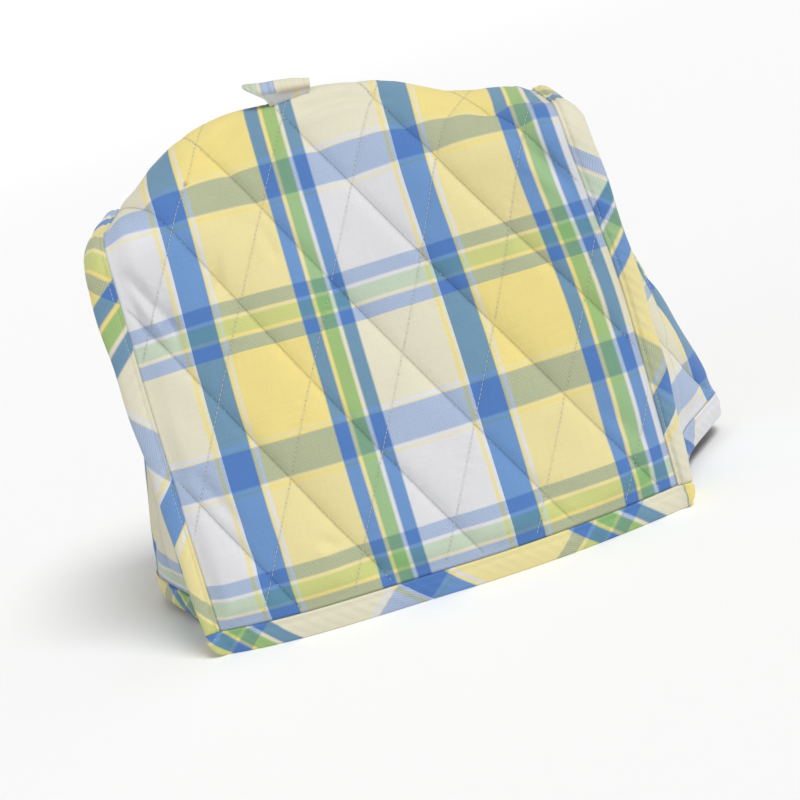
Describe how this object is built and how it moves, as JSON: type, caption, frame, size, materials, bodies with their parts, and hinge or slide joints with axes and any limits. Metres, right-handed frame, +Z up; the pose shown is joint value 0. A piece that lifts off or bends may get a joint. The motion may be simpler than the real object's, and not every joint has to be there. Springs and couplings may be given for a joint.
{
  "type": "toaster cover",
  "caption": "Quilted plaid cloth cover for a toaster, open underneath, with bound seams, a bound hem and a strap loop on its ridge.",
  "frame": {"origin": "on the surface that the hem stands on, under the middle of the cover's box", "axes": "+Z up; +X along the cover's width, to the viewer's right when seen from the front; -Y is the front"},
  "size_m": [0.3898, 0.212, 0.312],
  "materials": {
    "plaid_cloth": "quilted twill plaid in blue, yellow, white and green, matt",
    "bias_binding": "the same plaid cut on the bias, folded over the seam, matt",
    "strap_cloth": "the same plaid in a folded, edge-stitched strap, matt"
  },
  "bodies": {
    "root": {"main_panel": "plaid_cloth", "end_panel_left": "plaid_cloth", "end_panel_right": "plaid_cloth", "seam_binding_left": "bias_binding", "seam_binding_right": "bias_binding", "hem_binding": "bias_binding", "top_loop": "strap_cloth"}
  },
  "joints": []
}
